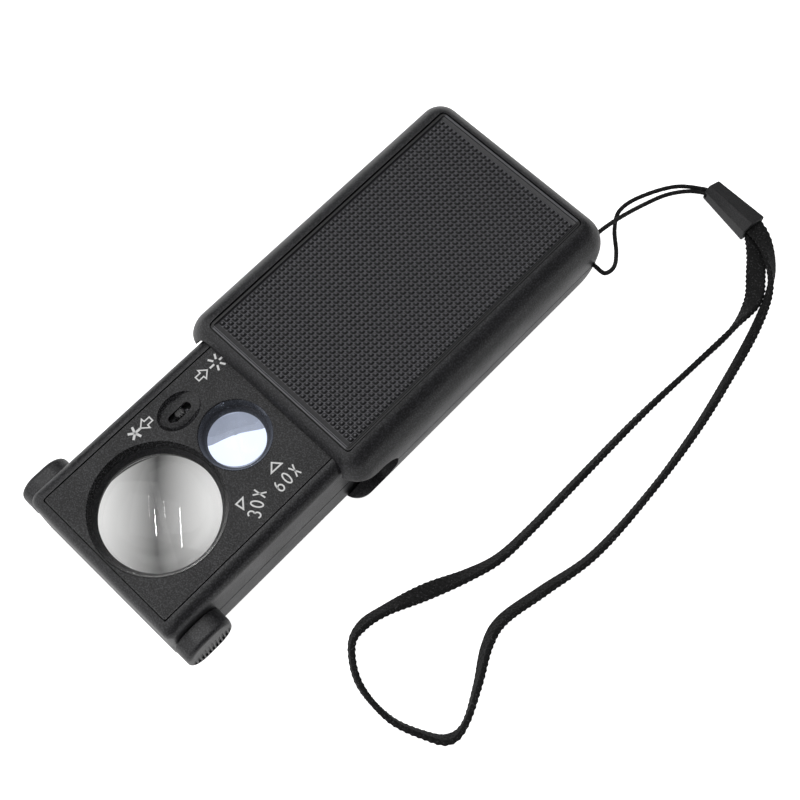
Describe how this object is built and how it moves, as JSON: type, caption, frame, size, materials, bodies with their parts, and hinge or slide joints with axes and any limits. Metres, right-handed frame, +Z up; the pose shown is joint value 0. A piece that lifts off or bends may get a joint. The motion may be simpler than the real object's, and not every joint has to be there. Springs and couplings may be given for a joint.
{
  "type": "counterfeit bill detector",
  "caption": "Pocket currency checker: a lit magnifier drawer with a large and a small lens slides out of a flat sleeve that carries a wrist lanyard.",
  "frame": {"origin": "centre of the sleeve's underside, on the surface it rests on", "axes": "+Y from the sleeve's open mouth to its back, so the drawer is pulled out towards -Y; +Z up out of the drawer's face; +X to the right seen from behind the drawer's front"},
  "size_m": [0.0767, 0.1276, 0.0209],
  "materials": {
    "black_shell": "satin black moulded plastic with a fine spark-eroded grain",
    "black_gloss": "glossy black plastic",
    "black_panel": "matte black plastic with a fine pyramid grip pattern",
    "face_plate": "matte black plastic with a coarse speckled grain",
    "white_print": "white pad print",
    "lens_clear": "polished clear acrylic",
    "led_white": "milky clear resin",
    "led_uv": "violet tinted clear resin",
    "board_green": "green solder mask",
    "component_black": "matte black chip",
    "switch_metal": "plated steel can",
    "cell_steel": "nickel plated steel",
    "contact_brass": "sprung brass strip",
    "screw_steel": "zinc plated steel",
    "cord_black": "thin braided cord",
    "strap_black": "flat woven polyester strap"
  },
  "bodies": {
    "sleeve": {"sleeve_top_shell": "black_shell", "sleeve_bottom_shell": "black_shell", "grip_panel_top": "black_panel", "grip_panel_bottom": "black_panel", "lanyard_cord": "cord_black"},
    "drawer": {"drawer_top_shell": "black_shell", "drawer_bottom_shell": "black_shell", "face_plate": "face_plate", "left_pull_grip": "black_shell", "right_pull_grip": "black_shell", "lens_carrier": "black_gloss", "large_lens": "lens_clear", "small_lens": "lens_clear", "white_led": "led_white", "uv_led": "led_uv", "circuit_board": "board_green", "resistors": "component_black", "switch_body": "switch_metal", "button_cells": "cell_steel", "positive_contact": "contact_brass", "negative_contact": "contact_brass", "drawer_screws": "screw_steel"},
    "switch": {"switch_knob": "black_gloss"},
    "door": {"battery_door": "black_shell"},
    "strap": {"lanyard_connector": "black_gloss", "lanyard_strap": "strap_black"}
  },
  "joints": [
    {"name": "drawer_slide", "type": "slide", "parent": "sleeve", "child": "drawer", "axis": [0, 1, 0], "range_m": [0, 0.0356]},
    {"name": "switch_slide", "type": "slide", "parent": "drawer", "child": "switch", "axis": [0, 1, 0], "range_m": [-0.0012, 0.0012]},
    {"name": "door_slide", "type": "slide", "parent": "drawer", "child": "door", "axis": [0, 1, 0], "range_m": [0, 0.0018]},
    {"name": "strap_swing", "type": "hinge", "parent": "sleeve", "child": "strap", "pos_m": [0.0242, 0.0585, 0.0016], "axis": [0, 0, 1], "range_deg": [-3, 30]}
  ]
}
